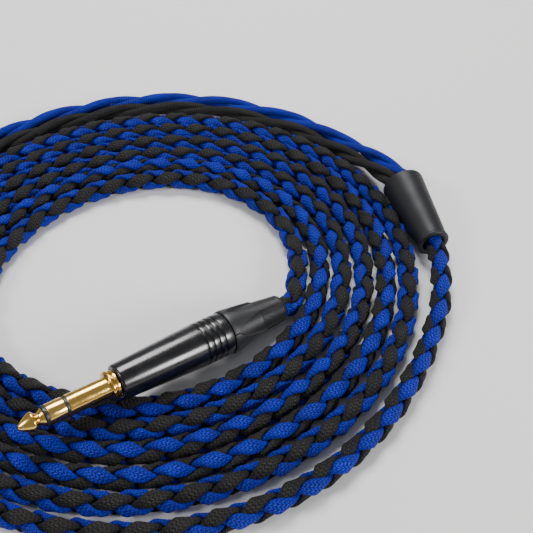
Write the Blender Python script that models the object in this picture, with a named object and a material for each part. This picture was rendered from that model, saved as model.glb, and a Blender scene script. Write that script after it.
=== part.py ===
"""Coiled headphone cable: a 6.35 mm stereo jack plug, a four-strand braided lead wound in a flat coil,
a tapered Y-splitter, and two twisted legs that end in small four-pin female connectors with latches.

Metres, +Z up. The cable lies on the plane z = 0. Outlines are in millimetres, scaled by MM.
"""

import math

import bmesh
import bpy
from mathutils import Matrix, Vector

MM = 0.001

# Driving dimensions, in millimetres
GAP = 0.3  # clearance between neighbouring pieces
FINE_GAP = 0.1  # clearance between the nested tubes inside the jack
BRAID_R = 3.4  # outside of the four-strand braid
LEG_R = 2.8  # outside of one leg, a twisted pair
LEG_SPACING = 5.9  # between the two legs' centrelines, side by side

COIL_CENTRE = (5.6, -2.4)  # where the coil's centre lies from the part's origin
RING_CENTRE = (0.8, -2.2)  # of the coil's solid, from the coil's centre
RING_INNER_R = 49.0
RING_OUTER_R = 88.4

JACK_R = 3.175
JACK_LENGTH = 30.5
JACK_ROD_R = 0.9  # the rod that carries the tip, inside the ring contact's tube
TIP_BAND = 7.6  # from the tip's end to the front insulator
RING_BAND = 13.9  # and to the rear insulator
SLEEVE_BAND = 14.8  # and to the sleeve
GRIP_GROOVES = 4
GROOVE_PITCH = 2.1
GROOVE_DEPTH = 0.35
BOOT_ARMS = 5
BARREL_R = 6.9
BARREL_FRONT_R = 5.6  # the shell narrows towards the jack
BARREL_LENGTH = 38.0
BOOT_LENGTH = 22.0
BOOT_END_R = 4.4
PLUG_FRONT = (-4.4, -52.6, 12.6)  # middle of the barrel's front face, from the coil's centre
PLUG_HEADING = 216.6  # degrees, from the barrel to the tip
PLUG_RISE = 7.3

SPLITTER_START = (97.4, 11.6)  # middle of the narrow face
SPLITTER_HEADING = 105.3
SPLITTER_LENGTH = 30.0
SPLITTER_NARROW_R = 5.75
SPLITTER_WIDE_R = 7.75

CONNECTOR_R = 5.45
CONNECTOR_NUT = 13.0  # length of the nut behind the shell
CONNECTOR_LENGTH = 38.0
NOSE_R = 4.15
NOSE_START = 28.0
LATCH_WIDTH = 2.6
CONTACT_CIRCLE_R = 1.9
CONTACT_COUNT = 4

# The routes that aren't coiled: angle about the coil's centre in degrees, radius and height in mm
TAIL_ROUTE = [
    (215, 93.3, 3.4), (230, 93.8, 3.4), (245, 94.3, 3.4), (260, 94.7, 3.4), (275, 95.0, 3.4),
    (290, 95.1, 3.4), (305, 95.1, 3.4), (320, 94.7, 3.4), (333, 94.8, 3.4), (343, 95.8, 3.6),
    (351, 97.2, 4.6), (358, 98.0, 5.2),
]
RIGHT_LEG_ROUTE = [
    (31, 95.0, 6.6), (38, 94.7, 4.6), (46, 94.4, 3.1), (60, 94.2, 2.8), (80, 94.2, 2.8),
    (100, 94.3, 2.8), (120, 94.6, 2.8), (138, 95.2, 2.8), (154, 96.6, 2.8), (168, 98.6, 2.8),
    (180, 100.4, 2.8), (191, 101.6, 3.0), (202, 102.6, 4.4),
]
LEFT_LEG_ROUTE = [
    (31, 101.0, 6.6), (38, 100.8, 4.6), (46, 100.4, 3.1), (60, 100.2, 2.8), (80, 100.2, 2.8),
    (100, 100.4, 2.8), (120, 100.9, 2.8), (138, 101.9, 2.8), (154, 103.8, 2.8), (168, 106.8, 2.8),
    (180, 110.2, 2.8), (191, 113.0, 3.0), (202, 114.8, 4.4),
]
RIGHT_CONNECTOR = (210.0, 103.2, 301.5)  # angle, radius and heading of the end where the leg goes in
LEFT_CONNECTOR = (210.0, 115.8, 299.0)

COLOURS = {
    "gold": ((0.83, 0.62, 0.25), 0.22, 1.0),
    "brass": ((0.72, 0.56, 0.28), 0.35, 1.0),
    "steel": ((0.62, 0.62, 0.64), 0.30, 1.0),
    "black_insulator": ((0.02, 0.02, 0.022), 0.45, 0.0),
    "gloss_black": ((0.012, 0.012, 0.014), 0.12, 0.0),
    "satin_black": ((0.045, 0.045, 0.05), 0.5, 0.0),
    "white_plastic": ((0.75, 0.75, 0.72), 0.5, 0.0),
    "blue_sleeve": ((0.01, 0.12, 0.62), 0.75, 0.0),
    "black_sleeve": ((0.03, 0.03, 0.032), 0.8, 0.0),
}


def clear_scene():
    for obj in list(bpy.data.objects):
        bpy.data.objects.remove(obj, do_unlink=True)


def material(name, finish):
    colour, roughness, metallic = COLOURS[finish]
    mat = bpy.data.materials.new(name)
    mat.use_nodes = True
    shader = mat.node_tree.nodes["Principled BSDF"]
    shader.inputs["Base Color"].default_value = (*colour, 1.0)
    shader.inputs["Roughness"].default_value = roughness
    shader.inputs["Metallic"].default_value = metallic
    return mat


def add_object(name, data, finish, parent):
    obj = bpy.data.objects.new(name, data)
    bpy.context.scene.collection.objects.link(obj)
    if finish:
        data.materials.append(material(name + "_material", finish))
    obj.parent = parent
    return obj


def frame(name, parent, place, heading=0.0, rise=None):
    """An empty at place (mm). With a rise in degrees, its +Z points along the heading and its +Y upwards."""
    empty = bpy.data.objects.new(name, None)
    bpy.context.scene.collection.objects.link(empty)
    empty.parent = parent
    empty.location = Vector(place) * MM
    if rise is not None:
        empty.rotation_mode = "QUATERNION"
        empty.rotation_quaternion = along(heading, rise).to_track_quat("Z", "Y")
    return empty


def mesh_from(bm, name):
    bmesh.ops.remove_doubles(bm, verts=bm.verts, dist=1e-7)
    bmesh.ops.recalc_face_normals(bm, faces=bm.faces)
    mesh = bpy.data.meshes.new(name)
    bm.to_mesh(mesh)
    bm.free()
    mesh.shade_smooth()
    mesh.set_sharp_from_angle(angle=math.radians(35))
    return mesh


def turned_mesh(name, outline, sides=28):
    """Turn a closed half-section of (radius, height) points, in mm, about local Z."""
    bm = bmesh.new()
    verts = [bm.verts.new((radius * MM, 0.0, height * MM)) for radius, height in outline]
    pairs = list(zip(verts, verts[1:] + verts[:1]))
    on_axis = [radius == 0 for radius, _ in outline]
    edges = []
    for i, pair in enumerate(pairs):
        if not (on_axis[i] and on_axis[(i + 1) % len(outline)]):
            edges.append(bm.edges.new(pair))
    bmesh.ops.spin(
        bm, geom=verts + edges, cent=(0, 0, 0), axis=(0, 0, 1), angle=2 * math.pi,
        steps=sides, use_merge=True, use_duplicate=False,
    )
    bmesh.ops.remove_doubles(bm, verts=bm.verts, dist=1e-7)
    bmesh.ops.dissolve_degenerate(bm, edges=bm.edges, dist=1e-8)
    return mesh_from(bm, name)


def turned(name, outline, finish, parent, sides=28):
    return add_object(name, turned_mesh(name, outline, sides), finish, parent)


def tube_outline(inner, outer, low, high):
    return [(inner, low), (outer, low), (outer, high), (inner, high)]


def arc(centre, radius, start, end, steps):
    """Points of an arc in the half-section plane, angles in degrees."""
    angles = [math.radians(start + (end - start) * i / steps) for i in range(steps + 1)]
    return [(centre[0] + radius * math.cos(a), centre[1] + radius * math.sin(a)) for a in angles]


def box_bmesh(low, high):
    bm = bmesh.new()
    bmesh.ops.create_cube(bm, size=1.0)
    for vert in bm.verts:
        for k in range(3):
            vert.co[k] = (high[k] if vert.co[k] > 0 else low[k]) * MM
    return bm


def cut(target, name, mesh):
    """Subtract a wire cutter, kept under the target's own parent, from the target."""
    cutter = bpy.data.objects.new(name, mesh)
    bpy.context.scene.collection.objects.link(cutter)
    cutter.parent = target.parent
    cutter.hide_render = True
    cutter.display_type = "WIRE"
    boolean = target.modifiers.new(name, "BOOLEAN")
    boolean.operation = "DIFFERENCE"
    boolean.solver = "EXACT"
    boolean.object = cutter


def catmull(points, per_span):
    """A smooth curve through the points, the ends included."""
    padded = [points[0] * 2 - points[1]] + points + [points[-1] * 2 - points[-2]]
    out = []
    for i in range(1, len(padded) - 2):
        p0, p1, p2, p3 = padded[i - 1 : i + 3]
        for step in range(per_span):
            t = step / per_span
            out.append(
                0.5 * (2 * p1 + (p2 - p0) * t + (2 * p0 - 5 * p1 + 4 * p2 - p3) * t * t
                       + (3 * p1 - p0 - 3 * p2 + p3) * t ** 3)
            )
    return out + [points[-1]]


def evenly(points, spacing):
    """Points a fixed spacing apart along a fine polyline, the ends included."""
    lengths = [0.0]
    for a, b in zip(points, points[1:]):
        lengths.append(lengths[-1] + (b - a).length)
    count = max(2, round(lengths[-1] / spacing) + 1)
    out, at = [], 0
    for i in range(count):
        want = lengths[-1] * i / (count - 1)
        while at < len(lengths) - 2 and lengths[at + 1] < want:
            at += 1
        t = (want - lengths[at]) / (lengths[at + 1] - lengths[at])
        out.append(points[at].lerp(points[at + 1], min(max(t, 0.0), 1.0)))
    return out


def tube(name, points, radius, finish, parent, resolution=2):
    """A capped tube along points in mm."""
    curve = bpy.data.curves.new(name, "CURVE")
    curve.dimensions = "3D"
    spline = curve.splines.new("POLY")
    spline.points.add(len(points) - 1)
    for spline_point, place in zip(spline.points, points):
        spline_point.co = (*(Vector(place) * MM), 1.0)
    curve.bevel_depth = radius * MM
    curve.bevel_resolution = resolution
    curve.use_fill_caps = True
    return add_object(name, curve, finish, parent)


def polar(angle, radius, height=0.0):
    return Vector((radius * math.cos(math.radians(angle)), radius * math.sin(math.radians(angle)), height))


def along(heading, rise=0.0):
    flat = math.cos(math.radians(rise))
    return Vector((flat * math.cos(math.radians(heading)), flat * math.sin(math.radians(heading)),
                   math.sin(math.radians(rise))))


# ---------------------------------------------------------------- jack plug


def plug_jack(axis):
    """The jack's turned contacts and insulators, nested about a rod; z = 0 is the barrel's front face."""
    tip_end = JACK_LENGTH
    front_ring, ring_start, rear_ring = tip_end - TIP_BAND, tip_end - RING_BAND, tip_end - SLEEVE_BAND
    nose = arc((0.9, tip_end - 1.1), 1.1, 90, 25, 3)
    turned("plug_tip", [
        (0, tip_end), *nose, (2.95, tip_end - 3.6), (3.1, tip_end - 4.2), (2.95, tip_end - 4.7),
        (1.95, tip_end - 5.5), (1.9, tip_end - 6.0), (2.7, tip_end - 6.9), (2.9, tip_end - 7.5),
        (JACK_ROD_R, tip_end - 7.5), (JACK_ROD_R, -14.0), (0, -14.0),
    ], "gold", axis)
    r1 = JACK_ROD_R + FINE_GAP
    r2 = r1 + 0.5
    r3 = r2 + FINE_GAP
    turned("plug_front_insulator", [
        (r1, -12.0), (r2, -12.0), (r2, front_ring - 1.0), (JACK_R - 0.1, front_ring - 1.0),
        (JACK_R - 0.1, front_ring), (r1, front_ring),
    ], "black_insulator", axis)
    turned("plug_ring_contact", [
        (r3, -10.0), (2.0, -10.0), (2.0, ring_start), (JACK_R, ring_start),
        (JACK_R, front_ring - 1.1), (r3, front_ring - 1.1),
    ], "gold", axis)
    turned("plug_rear_insulator", [
        (2.1, -8.0), (2.5, -8.0), (2.5, rear_ring), (JACK_R - 0.1, rear_ring),
        (JACK_R - 0.1, ring_start - FINE_GAP), (2.1, ring_start - FINE_GAP),
    ], "black_insulator", axis)
    turned("plug_sleeve", [
        (2.6, -7.0), (4.6, -7.0), (4.6, -1.6), (3.3, -1.6), (3.3, 0.3), (4.3, 0.3), (4.4, 0.5),
        (4.4, 1.2), (4.0, 1.4), (4.0, 1.6), (4.6, 1.8), (4.6, 2.6), (4.4, 2.8), (JACK_R, 2.8),
        (JACK_R, rear_ring - FINE_GAP), (2.6, rear_ring - FINE_GAP),
    ], "gold", axis)


def lug(name, axis, inner, washer, low, high, angle):
    """A solder lug: a washer round the contact's tube with a flat tongue that runs back to the wire."""
    obj = turned(name, tube_outline(inner, inner + washer, high - 0.5, high), "brass", axis, 24)
    tongue = box_bmesh((inner + washer - 0.6, -0.9, low), (inner + washer - 0.15, 0.9, high - 0.2))
    tongue_mesh = mesh_from(tongue, name + "_tongue")
    cutter = bpy.data.objects.new(name + "_tongue", tongue_mesh)
    bpy.context.scene.collection.objects.link(cutter)
    cutter.parent = axis
    cutter.rotation_euler = (0, 0, math.radians(angle))
    cutter.hide_render = True
    cutter.display_type = "WIRE"
    union = obj.modifiers.new("tongue", "BOOLEAN")
    union.operation = "UNION"
    union.solver = "EXACT"
    union.object = cutter


def plug_barrel(axis):
    """The hollow shell: a front wall with a hole for the sleeve's neck, a taper, grip grooves at the back."""
    groove_half, groove_floor = 0.45, BARREL_R - GROOVE_DEPTH
    outer = [(BARREL_R, -BARREL_LENGTH)]
    for k in range(GRIP_GROOVES):
        middle = -BARREL_LENGTH + 3.2 + GROOVE_PITCH * k
        outer += [(BARREL_R, middle - groove_half), (groove_floor, middle - 0.2),
                  (groove_floor, middle + 0.2), (BARREL_R, middle + groove_half)]
    turned("plug_barrel", [
        (6.0, -BARREL_LENGTH), *outer, (BARREL_FRONT_R, -0.9),
        *arc((BARREL_FRONT_R - 0.9, -0.9), 0.9, 20, 90, 3), (3.6, 0), (3.6, -1.2),
        (4.95, -1.2), (4.95, -7.5), (5.65, -13.0), (6.0, -20.0),
    ], "gloss_black", axis, 36)


def plug_chuck(axis):
    """The slit collet that grips the braid inside the barrel's back end."""
    chuck = turned("plug_chuck", [
        (BRAID_R + GAP, -36.5), (4.2, -36.5), (4.9, -33.6), (5.6, -33.0), (5.6, -25.0), (5.0, -24.4),
        (BRAID_R + GAP, -24.4),
    ], "white_plastic", axis)
    for k in range(3):
        slit = box_bmesh((0.5, -0.45, -37.0), (7.0, 0.45, -27.0))
        bmesh.ops.rotate(slit, verts=slit.verts, cent=(0, 0, 0),
                         matrix=Matrix.Rotation(math.radians(120.0 * k), 3, "Z"))
        cut(chuck, f"chuck_slit_{k + 1}", mesh_from(slit, "chuck_slit"))


def plug_boot(axis):
    """The nut behind the barrel: a flange whose pointed arms run back over a ribbed, tapered neck."""
    front, back = -BARREL_LENGTH - GAP, -BARREL_LENGTH - BOOT_LENGTH
    boot = turned("plug_boot", [
        (BRAID_R + GAP, back), (BOOT_END_R - 0.4, back), (BOOT_END_R, back + 0.5),
        (5.3, back + 9.0), (7.0, front - 2.2), (7.25, front - 0.8), (7.1, front), (5.7, front),
        (5.7, -33.9), (5.3, -33.9), (4.6, -36.8), (BRAID_R + GAP, -37.2),
    ], "satin_black", axis, 36)
    for k in range(BOOT_ARMS):
        scallop = bmesh.new()
        bmesh.ops.create_cone(scallop, cap_ends=True, segments=14, radius1=5.4 * MM, radius2=1.2 * MM,
                              depth=16.0 * MM)
        bmesh.ops.translate(scallop, verts=scallop.verts, vec=(0, 9.4 * MM, (front - 10.0) * MM))
        bmesh.ops.rotate(scallop, verts=scallop.verts, cent=(0, 0, 0),
                         matrix=Matrix.Rotation(math.radians(360.0 * (k + 0.5) / BOOT_ARMS), 3, "Z"))
        cut(boot, f"boot_scallop_{k + 1}", mesh_from(scallop, "boot_scallop"))


def jack_plug(coil):
    axis = frame("plug_axis", coil, PLUG_FRONT, PLUG_HEADING, PLUG_RISE)
    plug_jack(axis)
    plug_barrel(axis)
    plug_chuck(axis)
    plug_boot(axis)
    lug("plug_tip_lug", axis, JACK_ROD_R + FINE_GAP, 1.1, -19.0, -12.7, 90)
    lug("plug_ring_lug", axis, 2.1, 1.1, -17.0, -9.1, 210)
    lug("plug_sleeve_lug", axis, 2.6, 1.6, -18.0, -7.4, 330)
    wires = ((90, 90, 2.9), (210, 210, 4.0), (290, 320, 4.9), (370, 340, 4.9))
    for k, (start, angle, far) in enumerate(wires):
        run = [polar(start, 1.8, -23.4), polar((start + angle) / 2, (1.9 + far) / 2, -20.5),
               polar(angle, far, -17.8), polar(angle, far, -14.5)]
        tube(f"plug_wire_{k + 1}", run, 0.55, "black_insulator", axis, 1)


# ---------------------------------------------------------------- braid


def coil_ring(coil):
    """The coil's outer shape: a flat ring, a braid thick, with round inner and outer edges."""
    inner = arc((RING_INNER_R + BRAID_R, BRAID_R), BRAID_R, 270, 90, 4)
    outer = arc((RING_OUTER_R - BRAID_R, BRAID_R), BRAID_R, 90, -90, 4)
    ring = turned("braid_coil", inner + outer, "blue_sleeve", coil, 56)
    ring.location = Vector((*RING_CENTRE, 0)) * MM


def braid_lead(coil):
    """From the chuck inside the barrel, out of the boot, to the coil's inner edge."""
    start, back = Vector(PLUG_FRONT), -along(PLUG_HEADING, PLUG_RISE)
    boot_end = start + back * (BARREL_LENGTH + BOOT_LENGTH)
    outward = (boot_end - Vector((*RING_CENTRE, 0))).xy.length
    reach = 0.0
    while outward < RING_INNER_R - 2.3:
        reach += 0.1
        outward = (boot_end + back * reach - Vector((*RING_CENTRE, 0))).xy.length
    points = [start + back * 24.0, boot_end + back * (reach - GAP)]
    tube("braid_lead", evenly(points, 9.0), BRAID_R, "blue_sleeve", coil)


def braid_tail(coil, splitter_in, into):
    """The outermost turn's last stretch, from the coil's outer edge into the splitter."""
    points = [polar(*row) for row in TAIL_ROUTE]
    points += [splitter_in + into * reach for reach in (-3.0, 0.0, 3.0, 6.0)]
    tube("braid_tail", evenly(catmull(points, 12), 13.5), BRAID_R, "blue_sleeve", coil)


# ---------------------------------------------------------------- splitter and legs


def splitter(coil):
    slope = math.degrees(math.asin((SPLITTER_WIDE_R - SPLITTER_NARROW_R) / SPLITTER_LENGTH))
    start = Vector((*SPLITTER_START, SPLITTER_NARROW_R))
    axis = frame("splitter_axis", coil, start, SPLITTER_HEADING, slope)
    rim = arc((SPLITTER_NARROW_R - 0.5, 0.6), 0.6, -45, 45, 2)
    turned("splitter_shell", [
        (BRAID_R + 0.5, 0), (SPLITTER_NARROW_R - 0.5, 0), *rim,
        (SPLITTER_NARROW_R - 0.35, 1.8), (SPLITTER_WIDE_R - 0.2, SPLITTER_LENGTH - 1.0),
        (SPLITTER_WIDE_R - 0.5, SPLITTER_LENGTH), (6.4, SPLITTER_LENGTH), (6.1, SPLITTER_LENGTH - 9.0),
        (4.9, 7.0), (4.9, 3.0), (BRAID_R + 0.5, 3.0),
    ], "satin_black", axis, 36)
    turned("splitter_crimp", tube_outline(BRAID_R + GAP, 4.5, 3.4, 6.6), "brass", axis, 24)
    return start, along(SPLITTER_HEADING, slope)


def leg(name, coil, finish, mouth, out, side, route, connector):
    """A leg's tube, from inside the splitter's mouth along its route into its connector's nut."""
    angle, radius, heading = connector
    nut, into = polar(angle, radius, CONNECTOR_R), along(heading)
    first = mouth + side * (LEG_SPACING / 2)
    points = [first - out * 7.0, first + out * 2.5]
    points += [polar(*row) for row in route] + [nut - into * 2.0, nut + into * 11.0]
    tube(name, evenly(catmull(points, 12), 11.5), LEG_R, finish, coil)


# ---------------------------------------------------------------- connectors


def connector_nut(prefix, axis):
    turned(prefix + "_nut", [
        (LEG_R + GAP, 0), (3.9, 0), (4.3, 0.5), (4.9, 7.0), (CONNECTOR_R, 7.6),
        (CONNECTOR_R, CONNECTOR_NUT), (4.3, CONNECTOR_NUT), (4.3, 4.0), (LEG_R + GAP, 3.0),
    ], "satin_black", axis)


def connector_chuck(prefix, axis):
    chuck = turned(prefix + "_chuck", [
        (LEG_R + 0.2, 4.6), (3.8, 4.6), (4.0, 5.4), (4.0, 13.5), (LEG_R + 0.2, 13.5),
    ], "white_plastic", axis, 24)
    slit = box_bmesh((0.5, -0.4, 4.0), (6.0, 0.4, 11.0))
    cut(chuck, prefix + "_chuck_slit", mesh_from(slit, "chuck_slit"))


def connector_shell(prefix, axis):
    """The metal shell: a body, a narrower nose, and a slot along the top for the latch."""
    body_start = CONNECTOR_NUT + GAP
    shell = turned(prefix + "_shell", [
        (4.7, body_start), (CONNECTOR_R - 0.3, body_start), (CONNECTOR_R, body_start + 0.3),
        (CONNECTOR_R, NOSE_START - 0.6), (CONNECTOR_R - 0.6, NOSE_START), (NOSE_R, NOSE_START),
        (NOSE_R, CONNECTOR_LENGTH - 0.3), (NOSE_R - 0.3, CONNECTOR_LENGTH),
        (3.5, CONNECTOR_LENGTH), (3.5, NOSE_START - 1.0), (4.7, NOSE_START - 1.0),
    ], "gloss_black", axis)
    half = LATCH_WIDTH / 2 + GAP
    window = box_bmesh((-half, 2.6, 20.2), (half, 7.0, 26.1))
    cut(shell, prefix + "_button_window", mesh_from(window, "button_window"))
    slot = box_bmesh((-half, 2.6, 25.0), (half, 4.75, 34.2))
    cut(shell, prefix + "_latch_slot", mesh_from(slot, "latch_slot"))


def connector_insert(prefix, axis):
    """The insulating core: four through holes for the contacts and a channel under the latch."""
    insert = turned(prefix + "_insert", [
        (0, 17.0), (3.2, 17.0), (3.2, CONNECTOR_LENGTH - 0.8), (2.9, CONNECTOR_LENGTH - 0.5),
        (0, CONNECTOR_LENGTH - 0.5),
    ], "black_insulator", axis, 24)
    half = LATCH_WIDTH / 2 + GAP
    channel = box_bmesh((-half, 2.35, 16.0), (half, 4.0, 36.0))
    cut(insert, prefix + "_latch_channel", mesh_from(channel, "latch_channel"))
    for k, place in enumerate(contact_places()):
        bm = bmesh.new()
        bmesh.ops.create_cone(bm, cap_ends=True, segments=10, radius1=0.75 * MM, radius2=0.75 * MM,
                              depth=30.0 * MM)
        bmesh.ops.translate(bm, verts=bm.verts, vec=(place.x * MM, place.y * MM, 28.0 * MM))
        cut(insert, f"{prefix}_contact_hole_{k + 1}", mesh_from(bm, "contact_hole"))


def contact_places():
    return [polar(45 + 360 * k / CONTACT_COUNT, CONTACT_CIRCLE_R) for k in range(CONTACT_COUNT)]


def connector_contacts(prefix, axis):
    """The four female contacts, each a tube with its socket open at the front, sharing one mesh."""
    mesh = turned_mesh(prefix + "_contact", [
        (0, 15.2), (0.6, 15.2), (0.6, CONNECTOR_LENGTH - 1.6), (0.4, CONNECTOR_LENGTH - 1.6),
        (0.4, CONNECTOR_LENGTH - 9.0), (0, CONNECTOR_LENGTH - 9.0),
    ], 8)
    mesh.materials.append(material(prefix + "_contact_material", "gold"))
    for k, place in enumerate(contact_places()):
        contact = add_object(f"{prefix}_contact_{k + 1}", mesh, None, axis)
        contact.location = place * MM


def connector_latch(prefix, axis):
    """The push button and its hooked arm in one piece, extruded across its width."""
    outline = [
        (3.5, 18.0), (4.2, 18.0), (4.2, 20.6), (6.0, 20.6), (6.25, 21.2), (6.25, 25.2), (6.0, 25.8),
        (4.2, 25.8), (4.2, 30.6), (4.75, 31.2), (4.75, 32.0), (4.2, 33.4), (3.5, 33.4),
    ]
    middle = 26.0
    bm = bmesh.new()
    verts = [bm.verts.new((-LATCH_WIDTH / 2 * MM, y * MM, (z - middle) * MM)) for y, z in outline]
    face = bm.faces.new(verts)
    swept = bmesh.ops.extrude_face_region(bm, geom=[face])["geom"]
    bmesh.ops.translate(bm, verts=[g for g in swept if isinstance(g, bmesh.types.BMVert)],
                        vec=(LATCH_WIDTH * MM, 0, 0))
    latch = add_object(prefix + "_latch", mesh_from(bm, prefix + "_latch"), "steel", axis)
    latch.location = (0, 0, middle * MM)


def connector(prefix, coil, place):
    angle, radius, heading = place
    axis = frame(prefix + "_connector_axis", coil, polar(angle, radius, CONNECTOR_R), heading, 0.0)
    connector_nut(prefix, axis)
    connector_chuck(prefix, axis)
    connector_shell(prefix, axis)
    connector_insert(prefix, axis)
    connector_contacts(prefix, axis)
    connector_latch(prefix, axis)
    for k, side in enumerate((-1, 1)):
        run = [Vector((0.9 * side, -0.3, 11.5)), Vector((1.0 * side, -0.8, 13.0)),
               Vector((1.34 * side, -1.34, 14.7))]
        tube(f"{prefix}_wire_{k + 1}", run, 0.5, "black_insulator", axis, 1)


def main():
    clear_scene()
    coil = frame("coil_frame", None, (*COIL_CENTRE, 0))
    jack_plug(coil)
    coil_ring(coil)
    braid_lead(coil)
    start, out = splitter(coil)
    braid_tail(coil, start, out)
    mouth = start + out * SPLITTER_LENGTH
    side = along(SPLITTER_HEADING - 90)
    leg("left_leg", coil, "blue_sleeve", mouth, out, side, LEFT_LEG_ROUTE, LEFT_CONNECTOR)
    leg("right_leg", coil, "black_sleeve", mouth, out, -side, RIGHT_LEG_ROUTE, RIGHT_CONNECTOR)
    connector("left", coil, LEFT_CONNECTOR)
    connector("right", coil, RIGHT_CONNECTOR)


main()
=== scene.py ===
"""The looks of the coiled headphone cable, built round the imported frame. Metres, in the frame's axes."""

import math

import bmesh
import bpy
import numpy as np
from mathutils import Matrix, Vector


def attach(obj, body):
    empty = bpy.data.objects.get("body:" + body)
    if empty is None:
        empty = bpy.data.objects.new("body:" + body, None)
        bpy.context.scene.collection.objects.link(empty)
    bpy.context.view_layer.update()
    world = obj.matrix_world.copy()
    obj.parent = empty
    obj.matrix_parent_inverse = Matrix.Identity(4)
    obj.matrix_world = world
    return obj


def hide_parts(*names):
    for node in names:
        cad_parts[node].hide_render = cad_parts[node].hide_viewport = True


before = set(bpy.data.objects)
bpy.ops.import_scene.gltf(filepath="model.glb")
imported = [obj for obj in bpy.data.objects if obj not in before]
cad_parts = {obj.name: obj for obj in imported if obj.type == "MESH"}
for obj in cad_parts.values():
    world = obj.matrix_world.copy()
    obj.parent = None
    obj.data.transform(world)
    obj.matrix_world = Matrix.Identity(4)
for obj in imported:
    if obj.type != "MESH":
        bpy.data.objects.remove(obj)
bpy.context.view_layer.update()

MM = 0.001

# The cable, in millimetres
GAP = 0.3  # clearance between neighbouring pieces
BRAID_D = 6.8
LOBE_PITCH = 10.8  # between neighbouring lobes of one column
STRAND_THIN = 1.85  # a strand squeezed where it crosses another
STRAND_WIDE = 4.7
STRAND_ROUND = (2.5, 2.75)  # thickness and width midway between crossings
STRAND_FULLNESS = 0.86  # 1 gives an oval section, less a squarer one
STRAND_SIDES = 14
LEG_D = 5.6
LEG_TWIST = 47.0  # along a leg, for one full turn of its two strands
LEG_SPACING = 5.9  # between the two legs where they leave the splitter
COIL_START_R, COIL_STEP = 49.0, 7.47  # first radius, and its growth in each turn
FULL_TURNS = 5  # then the spiral goes on to where TAIL_ROUTE starts
COIL_BULGE_ANGLE, COIL_BULGE_WIDTH = 215.0, 25.0  # degrees
COIL_LIFT, LIFTS_PER_TURN = 0.35, 2.7  # the turns rise and settle a little

# Places, in millimetres from the coil's centre
COIL_CENTRE = Vector((5.6, -2.4, 0.0))  # from the frame's origin
PLUG_FRONT = Vector((-4.4, -52.6, 12.6))
PLUG_HEADING, PLUG_RISE = 216.6, 7.3  # degrees, from the barrel to the tip
JACK_LENGTH, JACK_R = 30.5, 3.175
TIP_BAND, RING_BAND, SLEEVE_BAND = 7.6, 13.9, 14.8  # from the tip's end to each band of the jack
BARREL_LENGTH, BOOT_LENGTH = 38.0, 22.0
BARREL_R, BARREL_FRONT_R = 6.9, 5.6  # the shell narrows towards the jack
GRIP_GROOVES, GROOVE_PITCH, GROOVE_DEPTH = 4, 2.1, 0.4
BOOT_ARMS = 5
BOOT_OUTSIDE = 30.0  # marks the outline points whose radius the boot's own shape sets
SPLITTER_START = Vector((97.4, 11.6, 5.75))  # middle of the narrow face
SPLITTER_HEADING, SPLITTER_LENGTH = 105.3, 30.0
SPLITTER_NARROW_R, SPLITTER_WIDE_R = 5.75, 7.75
CONNECTOR_R, CONNECTOR_LENGTH = 5.45, 38.0
NOSE_R, LATCH_WIDTH, LATCH_CLEARANCE = 4.15, 2.6, 0.3
CONTACT_CIRCLE_R, CONTACT_COUNT = 1.9, 4
RIGHT_CONNECTOR = (210.0, 103.2, 301.5)  # angle, radius and heading of the end where the leg goes in
LEFT_CONNECTOR = (210.0, 115.8, 299.0)

# The camera stands this far from the coil's centre, looking along +Y and down
CAMERA_PLACE = Vector((39.3, -201.3, 218.0))
CAMERA_DOWN = 46.42
CAMERA_LENS, CAMERA_SENSOR = 58.44, 36.0

# The routes that aren't coiled: angle about the coil's centre in degrees, radius and height in mm
TAIL_ROUTE = [
    (215, 93.3, 3.4), (230, 93.8, 3.4), (245, 94.3, 3.4), (260, 94.7, 3.4), (275, 95.0, 3.4),
    (290, 95.1, 3.4), (305, 95.1, 3.4), (320, 94.7, 3.4), (333, 94.8, 3.4), (343, 95.8, 3.6),
    (351, 97.2, 4.6), (358, 98.0, 5.2),
]
RIGHT_LEG_ROUTE = [
    (31, 95.0, 6.6), (38, 94.7, 4.6), (46, 94.4, 3.1), (60, 94.2, 2.8), (80, 94.2, 2.8),
    (100, 94.3, 2.8), (120, 94.6, 2.8), (138, 95.2, 2.8), (154, 96.6, 2.8), (168, 98.6, 2.8),
    (180, 100.4, 2.8), (191, 101.6, 3.0), (202, 102.6, 4.4),
]
LEFT_LEG_ROUTE = [
    (31, 101.0, 6.6), (38, 100.8, 4.6), (46, 100.4, 3.1), (60, 100.2, 2.8), (80, 100.2, 2.8),
    (100, 100.4, 2.8), (120, 100.9, 2.8), (138, 101.9, 2.8), (154, 103.8, 2.8), (168, 106.8, 2.8),
    (180, 110.2, 2.8), (191, 113.0, 3.0), (202, 114.8, 4.4),
]

# How the braid is rolled about its own line: turns wound so far, and degrees from blue side up
ROLL = [
    (-0.2, 95), (0.0, 90), (0.25, 46), (0.75, 70), (1.0, 10), (1.25, 0), (1.75, 89), (2.0, 130),
    (2.25, 90), (2.75, 0), (3.0, -45), (3.25, -90), (3.75, -175), (4.0, -150), (4.25, -80),
    (4.75, -76), (5.0, -90), (5.25, -60), (5.75, -91), (6.0, -175),
]


# ---------------------------------------------------------------- routes


def polar(angle, radius, height=0.0):
    """A point at an angle in degrees and a radius about the Z axis."""
    a = math.radians(angle)
    return Vector((radius * math.cos(a), radius * math.sin(a), height))


def along(heading, rise=0.0):
    """The direction with a heading and a rise above level, in degrees."""
    flat = math.cos(math.radians(rise))
    h = math.radians(heading)
    return Vector((flat * math.cos(h), flat * math.sin(h), math.sin(math.radians(rise))))


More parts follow.
